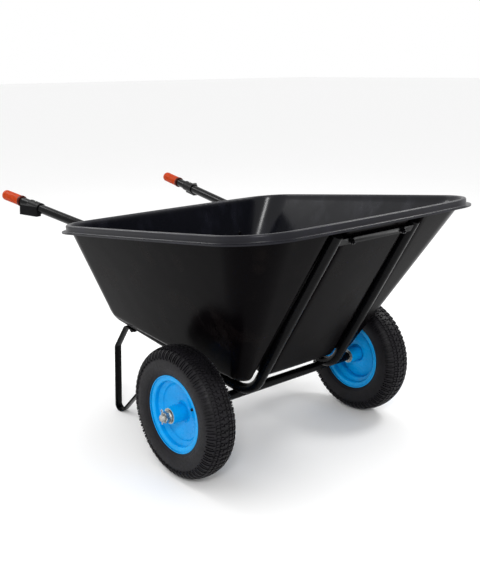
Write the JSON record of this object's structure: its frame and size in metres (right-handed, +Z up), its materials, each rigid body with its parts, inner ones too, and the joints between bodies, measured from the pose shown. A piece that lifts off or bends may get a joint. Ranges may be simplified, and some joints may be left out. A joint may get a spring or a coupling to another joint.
{
  "type": "wheelbarrow",
  "caption": "Two-wheeled wheelbarrow with a deep moulded tub on bent tube frame, pneumatic wheels on a straight axle, flat-bar legs and rubber grips.",
  "frame": {"origin": "on the ground under the middle of the whole barrow's footprint", "axes": "+X points forward to the nose of the tub, +Y to the user's left, +Z up"},
  "size_m": [1.5368, 0.9818, 0.7911],
  "materials": {
    "tub_plastic": "glossy moulded black polyethylene",
    "black_enamel": "black gloss powder coat on steel",
    "orange_grip": "orange soft moulded grip",
    "black_plastic": "black moulded plastic",
    "tyre_rubber": "black moulded tyre rubber",
    "inner_tube_rubber": "smooth butyl rubber",
    "blue_enamel": "bright blue gloss powder coat on pressed steel",
    "zinc_plated_hub": "zinc-plated steel tube",
    "zinc_plated": "zinc-plated fixings"
  },
  "bodies": {
    "barrow": {"axle_beam": "black_enamel", "axle_nut_left": "zinc_plated", "axle_nut_right": "zinc_plated", "axle_washers": "zinc_plated", "floor_bolts": "black_enamel", "floor_nuts": "black_enamel", "floor_washers": "black_enamel", "front_bolts": "black_enamel", "front_nuts": "black_enamel", "front_strap": "black_enamel", "front_washers": "black_enamel", "grip_left": "orange_grip", "grip_right": "orange_grip", "guard_screws": "zinc_plated", "hand_guard_left": "black_plastic", "hand_guard_right": "black_plastic", "leg_left": "black_enamel", "leg_right": "black_enamel", "rear_bolts": "black_enamel", "rear_nuts": "black_enamel", "rear_washers": "black_enamel", "side_tube_left": "black_enamel", "side_tube_right": "black_enamel", "split_pin_left": "zinc_plated", "split_pin_right": "zinc_plated", "strut_bolts": "zinc_plated", "strut_nuts": "zinc_plated", "strut_washers": "zinc_plated", "stub_axle_left": "zinc_plated_hub", "stub_axle_right": "zinc_plated_hub", "tub": "tub_plastic", "tube_plugs": "black_plastic"},
    "wheel_left": {"bearings_left": "zinc_plated_hub", "hub_left": "blue_enamel", "inner_tube_left": "inner_tube_rubber", "rim_left": "blue_enamel", "tyre_left": "tyre_rubber", "valve_cap_left": "black_plastic", "valve_stem_left": "inner_tube_rubber"},
    "wheel_right": {"bearings_right": "zinc_plated_hub", "hub_right": "blue_enamel", "inner_tube_right": "inner_tube_rubber", "rim_right": "blue_enamel", "tyre_right": "tyre_rubber", "valve_cap_right": "black_plastic", "valve_stem_right": "inner_tube_rubber"}
  },
  "joints": [
    {"name": "wheel_left_spin", "type": "hinge", "parent": "barrow", "child": "wheel_left", "pos_m": [0.32771, 0.38, 0.2], "axis": [0, 1, 0], "continuous": true},
    {"name": "wheel_right_spin", "type": "hinge", "parent": "barrow", "child": "wheel_right", "pos_m": [0.32771, -0.38, 0.2], "axis": [0, 1, 0], "continuous": true}
  ]
}
